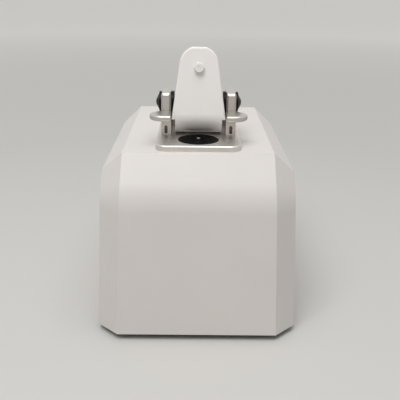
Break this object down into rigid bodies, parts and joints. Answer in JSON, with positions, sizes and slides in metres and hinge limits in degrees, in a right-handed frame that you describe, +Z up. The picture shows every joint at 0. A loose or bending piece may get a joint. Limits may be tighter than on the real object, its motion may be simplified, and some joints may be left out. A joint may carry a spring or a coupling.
{
  "type": "microvolume spectrophotometer",
  "caption": "Bench spectrophotometer with a bevelled housing, steel stage, hinged sample arm, pedestals and cuvette well.",
  "frame": {"origin": "on the bench under the middle of the housing's footprint, at the bottom of the feet", "axes": "+Z up, -Y out of the front where the user sits, +X to the user's right"},
  "size_m": [0.14, 0.2, 0.1953],
  "materials": {
    "housing_shell": "fine satin texture",
    "arm_white": "satin moulding",
    "polished_steel": "fine brushed, rounded edges",
    "black_plastic": "matt",
    "foot_rubber": "matt",
    "pan_paint": "powder coat",
    "screw_steel": "bright",
    "pedestal_steel": "lapped",
    "cast_aluminium": "as cast",
    "bush_brass": "turned",
    "clear_glass": "clear",
    "board_green": "solder mask",
    "socket_metal": "plated"
  },
  "bodies": {
    "base": {"housing": "housing_shell", "base_pan": "pan_paint", "rubber_feet": "foot_rubber", "base_screws": "screw_steel", "stage_plate": "polished_steel", "stage_screws": "screw_steel", "pedestal_disc": "black_plastic", "lower_pedestal": "pedestal_steel", "lower_ferrule": "pedestal_steel", "lower_fibre": "clear_glass", "hinge_yoke": "polished_steel", "hinge_block_left": "polished_steel", "hinge_block_right": "polished_steel", "pivot_pin_left": "screw_steel", "pivot_pin_right": "screw_steel", "hinge_washer_left": "black_plastic", "hinge_washer_right": "black_plastic", "hinge_knob_left": "black_plastic", "hinge_knob_right": "black_plastic", "hinge_screws": "screw_steel", "cuvette_holder": "black_plastic", "optical_bench": "cast_aluminium", "bench_screws": "screw_steel", "spectrometer": "cast_aluminium", "spectrometer_cover": "cast_aluminium", "lamp_module": "cast_aluminium", "lamp_lens": "clear_glass", "board_standoffs": "bush_brass", "main_board": "board_green", "board_screws": "screw_steel", "usb_socket": "socket_metal", "power_socket": "black_plastic"},
    "arm": {"arm_tray": "arm_white", "arm_cover": "arm_white", "arm_cover_screws": "screw_steel", "arm_core_screw": "screw_steel", "arm_core": "cast_aluminium", "hinge_bush_left": "bush_brass", "hinge_bush_right": "bush_brass", "path_actuator": "black_plastic"},
    "upper_pedestal": {"upper_pedestal": "pedestal_steel", "upper_ferrule": "pedestal_steel"}
  },
  "joints": [
    {"name": "arm_hinge", "type": "hinge", "parent": "base", "child": "arm", "pos_m": [0, -0.034, 0.156], "axis": [1, 0, 0], "range_deg": [0, 100]},
    {"name": "path_slide", "type": "slide", "parent": "arm", "child": "upper_pedestal", "axis": [0, 0.9848, -0.1736], "range_m": [0, 0.001]}
  ]
}
